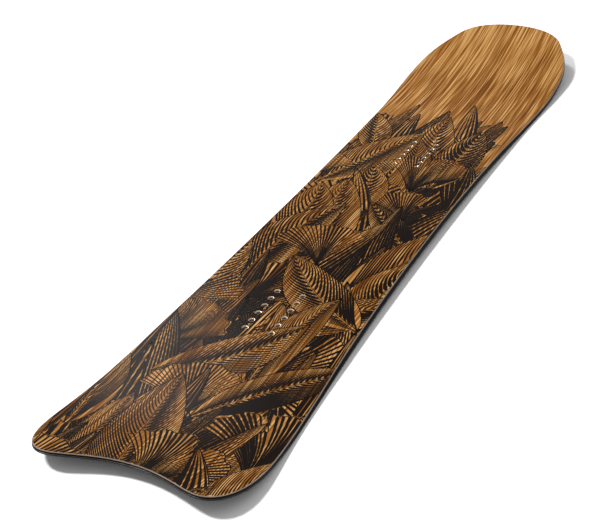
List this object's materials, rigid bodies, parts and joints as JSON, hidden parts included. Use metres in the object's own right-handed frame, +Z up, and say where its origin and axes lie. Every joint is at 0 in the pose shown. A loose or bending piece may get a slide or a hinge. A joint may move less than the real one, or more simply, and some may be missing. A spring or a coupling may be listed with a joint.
{
  "type": "snowboard",
  "caption": "Directional snowboard: cambered laminate with a long raised nose, a notched tail, steel edges and threaded binding inserts in the deck.",
  "frame": {"origin": "middle of the board's length and width, on the ground that it stands on", "axes": "+X across the board, +Y along it to the nose, +Z up out of the deck"},
  "size_m": [0.302, 1.568, 0.0557],
  "materials": {
    "lacquered_veneer": "straight-grained veneer with a black print under satin lacquer",
    "glass_laminate": "glass fibre in clear epoxy, trimmed edge",
    "core_beech": "planed",
    "core_poplar": "planed",
    "spacer_plastic": "ground",
    "sidewall_plastic": "planed and lightly polished",
    "sintered_base": "stone-ground and waxed",
    "damping_rubber": "plain",
    "edge_steel": "ground",
    "insert_steel": "turned, stainless"
  },
  "bodies": {
    "root": {"base_sheet": "sintered_base", "lower_glass": "glass_laminate", "upper_glass": "glass_laminate", "topsheet": "lacquered_veneer", "core_strip_left_1": "core_beech", "core_strip_left_2": "core_poplar", "core_strip_left_3": "core_beech", "core_strip_left_4": "core_poplar", "steel_edge_left": "edge_steel", "damping_foil_left": "damping_rubber", "sidewall_left": "sidewall_plastic", "core_strip_right_1": "core_beech", "core_strip_right_2": "core_poplar", "core_strip_right_3": "core_beech", "core_strip_right_4": "core_poplar", "steel_edge_right": "edge_steel", "damping_foil_right": "damping_rubber", "sidewall_right": "sidewall_plastic", "nose_spacer": "spacer_plastic", "tail_spacer": "spacer_plastic", "insert_front_left_1": "insert_steel", "insert_front_left_2": "insert_steel", "insert_front_left_3": "insert_steel", "insert_front_left_4": "insert_steel", "insert_front_left_5": "insert_steel", "insert_front_left_6": "insert_steel", "insert_front_right_1": "insert_steel", "insert_front_right_2": "insert_steel", "insert_front_right_3": "insert_steel", "insert_front_right_4": "insert_steel", "insert_front_right_5": "insert_steel", "insert_front_right_6": "insert_steel", "insert_rear_left_1": "insert_steel", "insert_rear_left_2": "insert_steel", "insert_rear_left_3": "insert_steel", "insert_rear_left_4": "insert_steel", "insert_rear_left_5": "insert_steel", "insert_rear_left_6": "insert_steel", "insert_rear_right_1": "insert_steel", "insert_rear_right_2": "insert_steel", "insert_rear_right_3": "insert_steel", "insert_rear_right_4": "insert_steel", "insert_rear_right_5": "insert_steel", "insert_rear_right_6": "insert_steel"}
  },
  "joints": []
}
